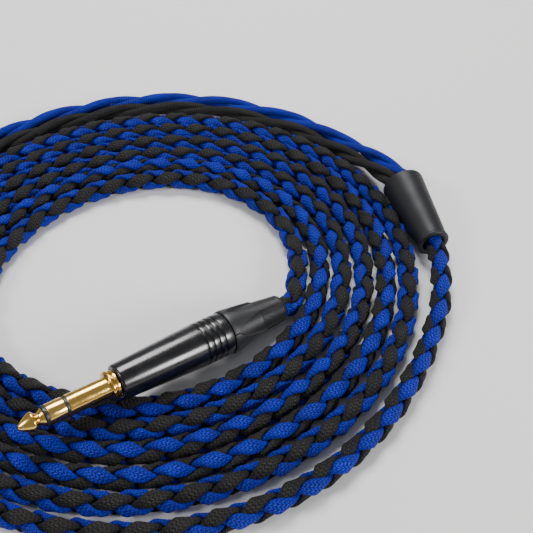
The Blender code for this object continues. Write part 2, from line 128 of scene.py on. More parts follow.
def catmull(points, per_span):
    """A smooth curve through the points, the ends included."""
    padded = [points[0] * 2 - points[1]] + points + [points[-1] * 2 - points[-2]]
    out = []
    for i in range(1, len(padded) - 2):
        p0, p1, p2, p3 = padded[i - 1 : i + 3]
        for step in range(per_span):
            t = step / per_span
            out.append(
                0.5 * (2 * p1 + (p2 - p0) * t + (2 * p0 - 5 * p1 + 4 * p2 - p3) * t * t
                       + (3 * p1 - p0 - 3 * p2 + p3) * t ** 3)
            )
    return out + [points[-1]]


def evenly(points, spacing):
    """The same line with points a fixed spacing apart, as an array."""
    p = np.array([tuple(q) for q in points])
    run = np.concatenate([[0.0], np.cumsum(np.linalg.norm(np.diff(p, axis=0), axis=1))])
    count = int(round(run[-1] / spacing)) + 1
    at = np.linspace(0.0, run[-1], count)
    return np.stack([np.interp(at, run, p[:, k]) for k in range(3)], axis=1), at


def coil_radius(wound):
    """Radius of the coil's line after so many turns: a spiral laid by hand, a little oval and off centre."""
    a = 2 * math.pi * wound
    even = COIL_START_R + COIL_STEP * wound
    lean = -0.3 * math.cos(a) - (1.3 + 0.3 * wound) * math.sin(a)
    oval = 1.2 * math.cos(2 * a) + 1.95 * math.sin(2 * a)
    from_bulge = (math.degrees(a) - COIL_BULGE_ANGLE + 180) % 360 - 180
    bulge = (3.5 - 0.95 * wound) * math.exp(-((from_bulge / COIL_BULGE_WIDTH) ** 2))
    return even + lean + oval + bulge


def plug_axis_vector():
    return along(PLUG_HEADING, PLUG_RISE)


def boot_end():
    return PLUG_FRONT - plug_axis_vector() * (BARREL_LENGTH + BOOT_LENGTH)


def splitter_axis_vector():
    slope = math.degrees(math.asin((SPLITTER_WIDE_R - SPLITTER_NARROW_R) / SPLITTER_LENGTH))
    return along(SPLITTER_HEADING, slope)


def braid_route():
    """From inside the boot, round the coil, along the last turn and into the splitter."""
    back, end = -plug_axis_vector(), boot_end()
    points = [end - back * 6.0, end - back * 2.0, end + back * 2.0, end + back * 5.5]
    points += [polar(360 * w, coil_radius(w), z) for w, z in ((0.005, 3.8), (0.03, 3.5))]
    turns, per_turn = TAIL_ROUTE[0][0] / 360 + FULL_TURNS, 36
    first, last = 0.06, turns - 0.04
    count = int((last - first) * per_turn)
    for k in range(count + 1):
        w = first + (last - first) * k / count
        lift = COIL_LIFT / 2 * (1 - math.cos(2 * math.pi * LIFTS_PER_TURN * w))
        points.append(polar(360 * w, coil_radius(w), BRAID_D / 2 + lift))
    points += [polar(*row) for row in TAIL_ROUTE]
    start, into = SPLITTER_START, splitter_axis_vector()
    points += [start + into * reach for reach in (-3.0, 0.0, 3.0, 6.0)]
    return [p + COIL_CENTRE for p in catmull(points, 10)]


def leg_route(route, connector, side):
    """From inside the splitter, round the back of the coil and into the connector's nut."""
    out = splitter_axis_vector()
    mouth = SPLITTER_START + out * SPLITTER_LENGTH
    angle, radius, heading = connector
    nut, into = polar(angle, radius, CONNECTOR_R), along(heading)
    first = mouth + side * (LEG_SPACING / 2)
    points = [first - out * 7.0, first + out * 2.5]
    points += [polar(*row) for row in route] + [nut - into * 2.0, nut + into * 11.0]
    return [p + COIL_CENTRE for p in catmull(points, 12)]


# ---------------------------------------------------------------- meshes


def new_object(name, verts, faces, uvs=None, materials=(), face_materials=None, smooth=True):
    """A mesh from millimetre points; uvs holds one pair for each corner of each face."""
    mesh = bpy.data.meshes.new(name)
    mesh.from_pydata((np.asarray(verts) * MM).tolist(), [], [list(map(int, f)) for f in faces])
    if uvs is not None:
        layer = mesh.uv_layers.new(name="strand")
        layer.data.foreach_set("uv", np.asarray(uvs, dtype=np.float32).ravel())
    for mat in materials:
        mesh.materials.append(mat)
    if face_materials is not None:
        mesh.polygons.foreach_set("material_index", np.asarray(face_materials, dtype=np.int32))
    if smooth:
        mesh.shade_smooth()
    mesh.update()
    obj = bpy.data.objects.new(name, mesh)
    bpy.context.scene.collection.objects.link(obj)
    return obj


def line_frames(points):
    """Unit tangents, outward sides and ups along a line that lies nearly flat."""
    tangent = np.gradient(points, axis=0)
    tangent /= np.linalg.norm(tangent, axis=1)[:, None]
    side = np.cross(tangent, np.array([0.0, 0.0, 1.0]))
    side /= np.linalg.norm(side, axis=1)[:, None]
    return tangent, side, np.cross(side, tangent)


def swept(centres, thin_axis, wide_axis, half_thin, half_wide, run):
    """A closed tube of soft oval sections; returns points, faces and corner uvs (mm along, part round)."""
    count, sides = len(centres), STRAND_SIDES
    t = np.arange(sides) * 2 * math.pi / sides
    across = np.sign(np.sin(t)) * np.abs(np.sin(t)) ** STRAND_FULLNESS
    outward = np.sign(np.cos(t)) * np.abs(np.cos(t)) ** STRAND_FULLNESS
    verts = (
        centres[:, None, :]
        + outward[None, :, None] * (thin_axis * half_thin[:, None])[:, None, :]
        + across[None, :, None] * (wide_axis * half_wide[:, None])[:, None, :]
    ).reshape(-1, 3)
    i = np.arange(count - 1)[:, None] * sides
    j = np.arange(sides)[None, :]
    k = (j + 1) % sides
    quads = np.stack([i + j, i + k, i + sides + k, i + sides + j], axis=-1).reshape(-1, 4)
    u0, u1 = run[:-1][:, None], run[1:][:, None]
    v0, v1 = (j / sides), ((j + 1) / sides)
    one = np.ones((count - 1, sides))
    uv = np.stack(
        [np.stack([u0 * one, v0 * one], -1), np.stack([u0 * one, v1 * one], -1),
         np.stack([u1 * one, v1 * one], -1), np.stack([u1 * one, v0 * one], -1)], axis=2,
    ).reshape(-1, 2)
    faces = [tuple(q) for q in quads]
    faces += [tuple(range(sides))[::-1], tuple(range((count - 1) * sides, count * sides))]
    uv = np.concatenate([uv, np.tile([run[0], 0.0], (sides, 1)), np.tile([run[-1], 0.0], (sides, 1))])
    return verts, faces, uv


def joined(name, pieces, materials, picks):
    """Several swept tubes as one mesh; picks gives each tube's material."""
    verts, faces, uvs, index, base = [], [], [], [], 0
    for (v, f, uv), pick in zip(pieces, picks):
        verts.append(v)
        faces += [tuple(np.add(face, base)) for face in f]
        uvs.append(uv)
        index += [pick] * len(f)
        base += len(v)
    return new_object(name, np.concatenate(verts), faces, np.concatenate(uvs), materials, index)


def braid(name, blue, black):
    """Four strands: two blue wind one way, two black the other, each over one and under one."""
    centre, run = evenly(braid_route(), LOBE_PITCH / 15)
    _, side, up = line_frames(centre)
    flat = centre[:, :2] - np.array(COIL_CENTRE[:2])
    angle = np.unwrap(np.arctan2(flat[:, 1], flat[:, 0])) / (2 * math.pi)
    roll = np.radians(np.interp(angle, [r[0] for r in ROLL], [r[1] for r in ROLL]))
    reach = 40  # points each way over which the roll is smoothed
    kernel = np.hanning(2 * reach + 1) / np.hanning(2 * reach + 1).sum()
    roll = np.convolve(np.pad(roll, reach, mode="edge"), kernel, mode="valid")
    x_axis = up * np.cos(roll)[:, None] + side * np.sin(roll)[:, None]
    y_axis = side * np.cos(roll)[:, None] - up * np.sin(roll)[:, None]
    far = (BRAID_D - STRAND_THIN) / 2
    near = STRAND_THIN / 2
    pieces, picks = [], []
    for k in range(4):
        turn = (1 if k < 2 else -1) * math.pi * run / LOBE_PITCH + math.pi * (k % 2)
        wobble = 0.05 * np.sin(run / 37.0 + 2.1 * k)
        reach_x, reach_y = (far, near) if k < 2 else (near, far)
        spot = (centre + x_axis * (reach_x * np.cos(turn + wobble))[:, None]
                + y_axis * (reach_y * np.sin(turn + wobble))[:, None])
        thin_axis = x_axis * np.cos(turn)[:, None] + y_axis * np.sin(turn)[:, None]
        forward = np.gradient(spot, axis=0)
        wide_axis = np.cross(forward, thin_axis)
        wide_axis /= np.linalg.norm(wide_axis, axis=1)[:, None]
        thin_axis = np.cross(wide_axis, forward)
        thin_axis /= np.linalg.norm(thin_axis, axis=1)[:, None]
        between = (1 - np.cos(4 * turn)) / 2
        crest = np.cos(turn) ** 2 if k < 2 else np.sin(turn) ** 2
        thin = STRAND_THIN + (STRAND_ROUND[0] - STRAND_THIN) * between
        wide = STRAND_ROUND[1] + (STRAND_WIDE - STRAND_ROUND[1]) * crest
        plump = 1 + 0.03 * np.sin(run / 11.0 + 1.7 * k)
        pieces.append(swept(spot, thin_axis, wide_axis, thin * plump / 2, wide * plump / 2, run))
        picks.append(0 if k < 2 else 1)
    return joined(name, pieces, [blue, black], picks), centre, run[-1]


def leg(name, route, sleeve, phase):
    """Two strands of one colour, loosely twisted."""
    centre, run = evenly(route, 1.6)
    tangent, side, up = line_frames(centre)
    pieces = []
    for k in range(2):
        turn = 2 * math.pi * run / LEG_TWIST + math.pi * k + phase + 0.35 * np.sin(run / 31.0)
        out = side * np.cos(turn)[:, None] + up * np.sin(turn)[:, None]
        wide_axis = np.cross(tangent, out)
        spot = centre + out * (LEG_D / 4)
        half = LEG_D / 4 * 1.04 * (1 + 0.03 * np.sin(run / 9.0 + k))
        pieces.append(swept(spot, out, wide_axis, half * 0.98, half * 1.12, run))
    return joined(name, pieces, [sleeve], [0, 0]), centre, run[-1]


def fillet(outline, radius, steps=3):
    """Round every corner of a closed half-section that lies off the axis."""
    out, count = [], len(outline)
    for i in range(count):
        a, b, c = (Vector(outline[(i + d) % count]) for d in (-1, 0, 1))
        if b.x == 0:
            out.append(tuple(b))
            continue
        to_a, to_c = a - b, c - b
        reach = min(radius, 0.45 * to_a.length, 0.45 * to_c.length)
        start, end = b + to_a.normalized() * reach, b + to_c.normalized() * reach
        for k in range(steps + 1):
            t = k / steps
            out.append(tuple(start.lerp(b, t).lerp(b.lerp(end, t), t)))
    return out


def axis_matrix(place, direction):
    """Local +Z along the direction and +Y upwards, at a place in mm from the coil's centre."""
    turn = direction.to_track_quat("Z", "Y").to_matrix().to_4x4()
    return Matrix.Translation((place + COIL_CENTRE) * MM) @ turn


def turned(name, outline, matrix, mat, segments=96, radius_of=None):
    """Turn a closed half-section of (radius, height) in mm about local Z, and place it."""
    ring, count = np.array(outline), len(outline)
    t = np.arange(segments) * 2 * math.pi / segments
    radius = np.repeat(ring[:, 0][:, None], segments, axis=1)
    height = np.repeat(ring[:, 1][:, None], segments, axis=1)
    if radius_of is not None:
        radius = radius_of(radius, height, t[None, :])
    verts = np.stack([radius * np.cos(t), radius * np.sin(t), height], axis=-1).reshape(-1, 3)
    on_axis = ring[:, 0] == 0
    faces, uvs = [], []
    run = np.concatenate([[0.0], np.cumsum(np.linalg.norm(np.diff(ring, axis=0), axis=1))])
    for i in range(count):
        n = (i + 1) % count
        if on_axis[i] and on_axis[n]:
            continue
        end = run[n] if n else run[i] + float(np.linalg.norm(ring[0] - ring[i]))
        for j in range(segments):
            k = (j + 1) % segments
            faces.append((i * segments + j, n * segments + j, n * segments + k, i * segments + k))
            a, b = j / segments, (j + 1) / segments
            uvs += [(run[i], a), (end, a), (end, b), (run[i], b)]
    obj = new_object(name, verts, faces, uvs, [mat])
    bm = bmesh.new()
    bm.from_mesh(obj.data)
    bmesh.ops.remove_doubles(bm, verts=bm.verts, dist=1e-8)
    bmesh.ops.dissolve_degenerate(bm, edges=bm.edges, dist=1e-9)
    bmesh.ops.recalc_face_normals(bm, faces=bm.faces)
    bm.to_mesh(obj.data)
    bm.free()
    obj.data.shade_smooth()
    obj.data.set_sharp_from_angle(angle=math.radians(40))
    obj.matrix_world = matrix
    return obj


# ---------------------------------------------------------------- cutting and rounding


def settle(obj):
    """Make the object's modifiers part of its mesh."""
    graph = bpy.context.evaluated_depsgraph_get()
    mesh = bpy.data.meshes.new_from_object(obj.evaluated_get(graph))
    obj.modifiers.clear()
    old, obj.data = obj.data, mesh
    bpy.data.meshes.remove(old)


def cut(obj, cutter):
    """Take the cutter's shape out of the object and throw the cutter away."""
    boolean = obj.modifiers.new("cut", "BOOLEAN")
    boolean.operation, boolean.solver, boolean.object = "DIFFERENCE", "EXACT", cutter
    settle(obj)
    bpy.data.objects.remove(cutter, do_unlink=True)
    obj.data.shade_smooth()
    obj.data.set_sharp_from_angle(angle=math.radians(35))


def block(low, high, matrix):
    """A plain box between two corners in mm, used as a cutter."""
    corners = [(x, y, z) for x in (low[0], high[0]) for y in (low[1], high[1]) for z in (low[2], high[2])]
    faces = [(0, 1, 3, 2), (4, 6, 7, 5), (0, 4, 5, 1), (2, 3, 7, 6), (0, 2, 6, 4), (1, 5, 7, 3)]
    obj = new_object("cutter", corners, faces, smooth=False)
    obj.matrix_world = matrix
    return obj


def soft_edges(obj, width, segments=3):
    """Round the object's sharp edges."""
    bevel = obj.modifiers.new("edges", "BEVEL")
    bevel.width, bevel.segments, bevel.limit_method = width * MM, segments, "ANGLE"
    bevel.angle_limit = math.radians(30)
    settle(obj)
    obj.data.shade_smooth()
    obj.data.set_sharp_from_angle(angle=math.radians(50))


# ---------------------------------------------------------------- node helpers


class Nodes:
    """A material's node tree with short calls for what the finishes below need."""

    def __init__(self, name):
        self.mat = bpy.data.materials.new(name)
        self.mat.use_nodes = True
        self.tree = self.mat.node_tree
        self.shader = self.tree.nodes["Principled BSDF"]

    def add(self, kind, inputs=(), **settings):
        node = self.tree.nodes.new("ShaderNode" + kind)
        for key, value in settings.items():
            setattr(node, key, value)
        for key, value in dict(inputs).items():
            if isinstance(value, bpy.types.NodeSocket):
                self.tree.links.new(value, node.inputs[key])
            else:
                node.inputs[key].default_value = value
        return node

    def maths(self, operation, a, b=0.0, c=0.0):
        return self.add("Math", {0: a, 1: b, 2: c}, operation=operation).outputs[0]

    def millimetres(self, stretch=(1, 1, 1)):
        """Object coordinates in millimetres, stretched along an axis where a value is under 1."""
        place = self.add("TexCoord").outputs["Object"]
        scale = [1000 * s for s in stretch]
        return self.add("Mapping", {"Vector": place, "Scale": scale}).outputs[0]

    def noise(self, place, per_mm, detail=3.0, rough=0.55):
        return self.add(
            "TexNoise", {"Vector": place, "Scale": per_mm, "Detail": detail, "Roughness": rough}
        ).outputs["Fac"]

    def fit(self, value, low, high, to_low, to_high):
        """Map a value from one range to another, clamped."""
        inputs = {"Value": value, "From Min": low, "From Max": high, "To Min": to_low, "To Max": to_high}
        return self.add("MapRange", inputs).outputs[0]

    def blend(self, factor, first, second):
        inputs = {0: factor, 6: (*first, 1) if isinstance(first, tuple) else first,
                  7: (*second, 1) if isinstance(second, tuple) else second}
        return self.add("Mix", inputs, data_type="RGBA").outputs[2]

    def worn_edges(self, low, high):
        """1 on raised edges, 0 elsewhere, from how pointed the surface is."""
        return self.fit(self.add("NewGeometry").outputs["Pointiness"], low, high, 0, 1)

    def finish(self, colour, roughness, height, depth_mm, **constants):
        inputs = {"Height": height, "Distance": depth_mm * MM, "Strength": 1.0}
        normal = self.add("Bump", inputs).outputs[0]
        for socket, value in (("Base Color", colour), ("Roughness", roughness), ("Normal", normal)):
            self.tree.links.new(value, self.shader.inputs[socket])
        for key, value in constants.items():
            self.shader.inputs[key.replace("_", " ")].default_value = value
        return self.mat


# ---------------------------------------------------------------- finishes


def woven_sleeve(name, colour, shade, painted_glint_and_sheen_tint):
    """Nylon sleeve: herringbone stitches in narrow columns round the strand, with loose fine fibres; the
    colour is painted darker in the gaps between stitches as painted shade, and lighter on the fibre tops as
    painted glints.
    """
    stitch, columns = 0.95, 20
    n = Nodes(name)
    uv = n.add("SeparateXYZ", {"Vector": n.add("UVMap", uv_map="strand").outputs[0]})
    length, around = uv.outputs[0], n.maths("MULTIPLY", uv.outputs[1], columns)
    wander = n.fit(n.noise(n.millimetres(), 0.5, 2), 0.3, 0.7, -0.25, 0.25)
    around = n.maths("ADD", around, wander)
    column, local = n.maths("FLOOR", around), n.maths("FRACT", around)
    lean = n.maths("MULTIPLY_ADD", n.maths("PINGPONG", column, 1.0), 2.0, -1.0)
    slant = n.maths("MULTIPLY", n.maths("SUBTRACT", local, 0.5), n.maths("MULTIPLY", lean, 0.7))
    along_mm = n.maths("DIVIDE", length, stitch)
    phase = n.maths("FRACT", n.maths("ADD", along_mm, slant))
    ridge = n.maths("PINGPONG", n.maths("MULTIPLY", phase, 2.0), 1.0)
    ridge = n.maths("POWER", ridge, 0.8)
    groove = n.maths("PINGPONG", n.maths("MULTIPLY", local, 2.0), 1.0)
    groove = n.maths("POWER", groove, 0.5)
    weave = n.maths("MULTIPLY", ridge, n.maths("MULTIPLY_ADD", groove, 0.75, 0.25))
    fibre_place = {0: n.maths("MULTIPLY", length, 2.2), 1: n.maths("MULTIPLY", around, 3.0)}
    fibre = n.noise(n.add("CombineXYZ", fibre_place).outputs[0], 2.0, 4, 0.7)
    height = n.maths("MULTIPLY_ADD", fibre, 0.35, weave)
    patch = n.noise(n.millimetres(), 0.12, 3)
    # Painted shade: the colour darkens towards the shade colour in the gaps between stitches and fibres, and
    # also varies over random patches.
    lit = n.fit(n.maths("MULTIPLY_ADD", n.maths("SUBTRACT", patch, 0.5), 0.5, height), 0.38, 0.98, 0, 1)
    body = n.blend(lit, shade, colour)
    # Painted glint: the raised fine fibres are lightened towards a paler glint colour, which is also the
    # sheen tint.
    body = n.blend(n.fit(fibre, 0.62, 0.85, 0, 0.5), body, painted_glint_and_sheen_tint)
    rough = n.fit(height, 0.2, 1.3, 0.78, 0.46)
    return n.finish(
        body, rough, height, 0.38, Specular_IOR_Level=0.25, Sheen_Weight=0.06, Sheen_Roughness=0.45,
        Sheen_Tint=(*painted_glint_and_sheen_tint, 1),
    )


def gold_plate(name, colour=(0.78, 0.50, 0.13), deep=(0.58, 0.33, 0.06), rough=0.14):
    """Plated turned metal: fine tool rings round local Z, slight tarnish, hairline scratches."""
    n = Nodes(name)
    rings = n.noise(n.millimetres((0.01, 0.01, 1.0)), 9.0, 2)
    scratch = n.noise(n.millimetres((1.0, 1.0, 0.06)), 6.0, 4, 0.7)
    tarnish = n.noise(n.millimetres(), 0.35, 5, 0.6)
    body = n.blend(n.fit(tarnish, 0.42, 0.75, 0, 0.8), colour, deep)
    body = n.blend(n.maths("MULTIPLY", n.worn_edges(0.52, 0.60), 0.5), body, (0.95, 0.80, 0.50))
    smudge = n.fit(tarnish, 0.35, 0.7, rough - 0.03, rough + 0.12)
    roughness = n.maths("ADD", smudge, n.fit(scratch, 0.55, 0.8, 0, 0.14))
    height = n.maths("MULTIPLY_ADD", scratch, 0.4, rings)
    return n.finish(body, roughness, height, 0.006, Metallic=1.0)


def bare_metal(name, colour, dark, rough):
    """Drawn or pressed metal with a brushed grain and dull patches."""
    n = Nodes(name)
    grain = n.noise(n.millimetres((0.12, 1.0, 1.0)), 7.0, 4, 0.65)
    patch = n.noise(n.millimetres(), 0.5, 4)
    body = n.blend(n.fit(patch, 0.4, 0.75, 0, 0.7), colour, dark)
    body = n.blend(n.maths("MULTIPLY", n.worn_edges(0.53, 0.62), 0.6), body, (0.85, 0.85, 0.86))
    brushed = n.fit(grain, 0.3, 0.7, rough - 0.06, rough + 0.1)
    roughness = n.maths("ADD", brushed, n.fit(patch, 0.4, 0.8, 0, 0.1))
    return n.finish(body, roughness, grain, 0.008, Metallic=1.0)


def moulded(name, colour, pale, rough, grain=3.0, depth=0.02):
    """Moulded plastic or rubber: fine grain, faint flow marks, dust and edges rubbed a little paler."""
    n = Nodes(name)
    place = n.millimetres()
    fine = n.noise(place, grain, 5, 0.6)
    flow = n.noise(n.millimetres((1.0, 1.0, 0.2)), 0.4, 4)
    dust = n.noise(place, 1.6, 6, 0.75)
    body = n.blend(n.fit(flow, 0.35, 0.7, 0, 0.35), colour, pale)
    rubbed = n.maths("MULTIPLY", n.worn_edges(0.52, 0.60), n.fit(dust, 0.35, 0.65, 0.2, 0.8))
    body = n.blend(rubbed, body, tuple(min(1.0, 2.2 * c + 0.015) for c in pale))
    body = n.blend(n.fit(dust, 0.70, 0.82, 0, 0.25), body, (0.35, 0.35, 0.36))
    grained = n.fit(fine, 0.3, 0.7, rough - 0.06, rough + 0.06)
    roughness = n.maths("ADD", grained, n.fit(flow, 0.4, 0.8, 0, 0.12))
    return n.finish(body, roughness, fine, depth)


def lacquered(name, colour, pale, rough):
    """Gloss-black lacquer on metal: finger smudges, faint hairlines, edges worn to the metal."""
    n = Nodes(name)
    smudge = n.noise(n.millimetres(), 0.18, 5, 0.6)
    hairline = n.noise(n.millimetres((1.0, 1.0, 0.05)), 4.0, 5, 0.75)
    orange_peel = n.noise(n.millimetres(), 1.3, 2)
    speck = n.noise(n.millimetres(), 3.2, 3)
    body = n.blend(n.fit(smudge, 0.4, 0.8, 0, 0.5), colour, pale)
    worn = n.maths("MULTIPLY", n.worn_edges(0.53, 0.62), n.fit(speck, 0.4, 0.6, 0.1, 0.7))
    body = n.blend(worn, body, (0.16, 0.16, 0.165))
    smeared = n.fit(smudge, 0.35, 0.7, rough, rough + 0.1)
    roughness = n.maths("ADD", smeared, n.fit(hairline, 0.6, 0.8, 0, 0.15))
    height = n.maths("MULTIPLY_ADD", hairline, 0.25, orange_peel)
    return n.finish(body, roughness, height, 0.012, Coat_Weight=0.25, Coat_Roughness=0.16)


def blasted_metal(name, colour, pale, rough):
    """Anodised aluminium with a bead-blasted grain, slightly polished where it is handled."""
    n = Nodes(name)
    grain = n.noise(n.millimetres(), 5.0, 4, 0.7)
    cloud = n.noise(n.millimetres(), 0.15, 4)
    body = n.blend(n.fit(cloud, 0.35, 0.7, 0, 0.5), colour, pale)
    body = n.blend(n.fit(grain, 0.58, 0.75, 0, 0.4), body, pale)
    body = n.blend(n.maths("MULTIPLY", n.worn_edges(0.52, 0.60), 0.5), body, (0.22, 0.22, 0.23))
    blasted = n.fit(grain, 0.3, 0.7, rough - 0.05, rough + 0.1)
    roughness = n.maths("ADD", blasted, n.fit(cloud, 0.4, 0.8, 0, -0.08))
    return n.finish(body, roughness, grain, 0.025, Metallic=0.55)


# The second colour of each sleeve is the painted shade in the stitch gaps, and the third is the painted glint
# on fibre tops and the sheen tint.
BLUE = woven_sleeve("blue_sleeve", (0.001, 0.022, 0.66), (0.000, 0.001, 0.07), (0.006, 0.085, 0.98))
BLACK = woven_sleeve("black_sleeve", (0.030, 0.027, 0.025), (0.002, 0.002, 0.002), (0.10, 0.092, 0.085))
GOLD = gold_plate("gold_plating")
CONTACT_GOLD = gold_plate("contact_gold", (0.78, 0.55, 0.2), (0.6, 0.36, 0.1), 0.2)
BRASS = bare_metal("brass", (0.60, 0.43, 0.18), (0.38, 0.25, 0.1), 0.32)
LATCH_STEEL = bare_metal("latch_steel", (0.50, 0.50, 0.52), (0.32, 0.32, 0.34), 0.28)
INSULATOR = moulded("black_insulator", (0.008, 0.008, 0.009), (0.016, 0.016, 0.017), 0.38)
WIRE = moulded("wire_insulation", (0.02, 0.02, 0.022), (0.05, 0.05, 0.05), 0.45)
CHUCK = moulded("chuck_plastic", (0.62, 0.61, 0.57), (0.74, 0.73, 0.70), 0.48)
BARREL = lacquered("barrel_gloss_black", (0.0035, 0.0035, 0.004), (0.008, 0.008, 0.009), 0.2)
BOOT = moulded("boot_black", (0.012, 0.012, 0.013), (0.022, 0.022, 0.023), 0.42, 2.6, 0.03)
SPLITTER = blasted_metal("splitter_black", (0.018, 0.018, 0.020), (0.034, 0.034, 0.037), 0.48)
CONNECTOR_SHELL = blasted_metal("connector_shell_black", (0.015, 0.015, 0.017), (0.03, 0.03, 0.033), 0.36)
CONNECTOR_NUT_BLACK = moulded("connector_nut_black", (0.012, 0.012, 0.013), (0.024, 0.024, 0.025), 0.5)


# ---------------------------------------------------------------- pieces


def stand_for(obj, slot, *nodes, body="cable"):
    """The piece rides on its body and replaces the nodes of the model; the slot is not used."""
    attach(obj, body)
    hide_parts(*nodes)
    return obj


def arc(centre, radius, start, end, steps):
    """Points of an outline round a centre, from one angle to another in degrees."""
    angles = [math.radians(start + (end - start) * i / steps) for i in range(steps + 1)]
    return [(centre[0] + radius * math.cos(a), centre[1] + radius * math.sin(a)) for a in angles]


def jack():
    """Tip, ring and sleeve in gold with two black insulators between; z = 0 is the barrel's front face."""
    m = axis_matrix(PLUG_FRONT, plug_axis_vector())
    tip = JACK_LENGTH
    front_ring, ring_start, rear_ring = tip - TIP_BAND, tip - RING_BAND, tip - SLEEVE_BAND
    ogive = [(0.3, 0.03), (0.75, 0.28), (1.2, 0.8), (1.85, 1.7), (2.4, 2.55), (2.85, 3.4), (3.08, 4.1)]
    waist = [(2.95, 4.65), (2.4, 5.15), (1.95, 5.6), (1.88, 6.05), (2.15, 6.5), (2.6, 7.0), (2.88, 7.45)]
    curve = catmull([Vector((r, tip - back)) for r, back in ogive + waist], 4)
    tip_outline = [(0, tip), *map(tuple, curve), (0.9, tip - 7.5), (0.9, -14.0), (0, -14.0)]
    outlines = {
        "plug_tip": (GOLD, "gold_plating", 0.08, tip_outline),
        "plug_front_insulator": (INSULATOR, "black_insulator", 0.1, [
            (1.0, -12.0), (1.5, -12.0), (1.5, front_ring - 1.0), (JACK_R - 0.08, front_ring - 1.0),
            (JACK_R - 0.08, front_ring), (1.0, front_ring)]),
        "plug_ring_contact": (GOLD, "gold_plating", 0.14, [
            (1.6, -10.0), (2.0, -10.0), (2.0, ring_start), (JACK_R, ring_start), (JACK_R, front_ring - 1.05),
            (1.6, front_ring - 1.05)]),
        "plug_rear_insulator": (INSULATOR, "black_insulator", 0.1, [
            (2.1, -8.0), (2.5, -8.0), (2.5, rear_ring), (JACK_R - 0.08, rear_ring),
            (JACK_R - 0.08, ring_start - 0.05), (2.1, ring_start - 0.05)]),
        "plug_sleeve": (GOLD, "gold_plating", 0.16, [
            (2.6, -7.0), (4.6, -7.0), (4.6, -1.6), (3.3, -1.6), (3.3, 0.25), (4.2, 0.25), (4.35, 0.45),
            (4.35, 1.15), (3.9, 1.35), (3.9, 1.65), (4.5, 1.85), (4.65, 2.05), (4.65, 2.5), (4.35, 2.85),
            (3.3, 2.95), (JACK_R, 3.2), (JACK_R, rear_ring - 0.05), (2.6, rear_ring - 0.05)]),
    }
    for name, (mat, slot, corner, outline) in outlines.items():
        stand_for(turned(name.replace("plug", "jack"), fillet(outline, corner), m, mat), slot, name)


def barrel():
    """The lacquered shell: a rounded front rim, a gentle taper and four grip grooves near the back."""
    back, floor = -BARREL_LENGTH, BARREL_R - GROOVE_DEPTH
    outline = [(6.0, back), (BARREL_R - 0.1, back)]
    for k in range(GRIP_GROOVES):
        middle = back + 3.2 + GROOVE_PITCH * k
        outline += [(BARREL_R, middle - 0.42), (floor, middle - 0.16), (floor, middle + 0.16),
                    (BARREL_R, middle + 0.42)]
    front = BARREL_FRONT_R
    outline += [(front, -0.95), *arc((front - 0.8, -0.8), 0.8, 10, 80, 5), (front - 1.0, 0),
                (front - 1.1, -0.25), (3.6, -0.25), (3.6, -1.2), (4.95, -1.2), (4.95, -7.5), (5.65, -13.0),
                (6.0, -20.0)]
    m = axis_matrix(PLUG_FRONT, plug_axis_vector())
    stand_for(turned("barrel", fillet(outline, 0.1), m, BARREL, 128), "barrel_gloss_black", "plug_barrel")


def boot():
    """The nut behind the barrel: five arms run back to points over a tapered neck with fine ribs."""
    front, back = -BARREL_LENGTH - GAP, -BARREL_LENGTH - BOOT_LENGTH
    arm_reach, arch_at, half = 13.0, 0.15, math.pi / BOOT_ARMS
    rib_end, rib_pitch = back + 9.6, 0.6

    def neck(z):
        t = (z - back) / (front - back)
        return np.interp(t, [0, 0.03, 0.25, 0.5, 0.75, 1.0], [4.1, 4.4, 4.8, 5.2, 5.7, 6.3])

    def cover(z):
        t = (z - back) / (front - back)
        return np.interp(t, [0, 0.35, 0.6, 0.9, 0.97, 1.0], [4.5, 5.6, 6.3, 7.1, 7.22, 7.05])

    def shape(radius, z, angle):
        behind = np.clip((front - z) / arm_reach, 0, 1.2)
        opened = np.clip((behind - arch_at) / (1 - arch_at), 0, 1) ** 0.62 * half
        from_arm = np.abs((angle + half) % (2 * half) - half)
        raised = np.clip((half - opened - from_arm) / 0.05 + 0.5, 0, 1)
        raised = raised * raised * (3 - 2 * raised)
        ribs = 0.09 * (np.cos(2 * math.pi * (rib_end - z) / rib_pitch) - 1) * (z < rib_end) * (z > back + 0.7)
        outer = neck(z) + ribs + (np.maximum(cover(z), neck(z)) - neck(z)) * raised
        return np.where(radius == BOOT_OUTSIDE, outer, radius)

    levels = [*np.arange(back + 0.05, rib_end, rib_pitch / 6), *np.arange(rib_end, front - 0.1, 0.25)]
    outside = [(BOOT_OUTSIDE, z) for z in [back, *levels, front]]
    hole = BRAID_D / 2 + GAP
    outline = [(hole, back + 0.3), (3.9, back), *outside, (5.7, front), (5.7, -33.9), (5.3, -33.9),
               (4.6, -36.8), (hole, -37.2)]
    m = axis_matrix(PLUG_FRONT, plug_axis_vector())
    stand_for(turned("boot", outline, m, BOOT, 320, shape), "boot_black", "plug_boot")


def splitter():
    """The tapered shell: a thick rounded rim where the braid goes in, a fine lip at the wide mouth."""
    rim, wide, length = SPLITTER_NARROW_R, SPLITTER_WIDE_R, SPLITTER_LENGTH
    hole = BRAID_D / 2 + 0.15
    outline = [
        (hole, 0.5), (rim - 1.6, 0.05), (rim - 0.9, 0), *arc((rim - 0.75, 0.75), 0.75, -80, 60, 8),
        (rim - 0.3, 1.7), (wide - 0.12, length - 0.9), *arc((wide - 0.55, length - 0.45), 0.42, 10, 90, 5),
        (6.6, length), (6.3, length - 0.4), (6.1, length - 9.0), (4.9, 7.0), (4.9, 3.0), (hole, 3.0),
    ]
    m = axis_matrix(SPLITTER_START, splitter_axis_vector())
    stand_for(turned("splitter", fillet(outline, 0.12), m, SPLITTER, 144), "splitter_black", "splitter_shell")


def contact_places():
    """Where the contacts stand about the connector's axis."""
    return [polar(45 + 90 * k, CONTACT_CIRCLE_R) for k in range(CONTACT_COUNT)]


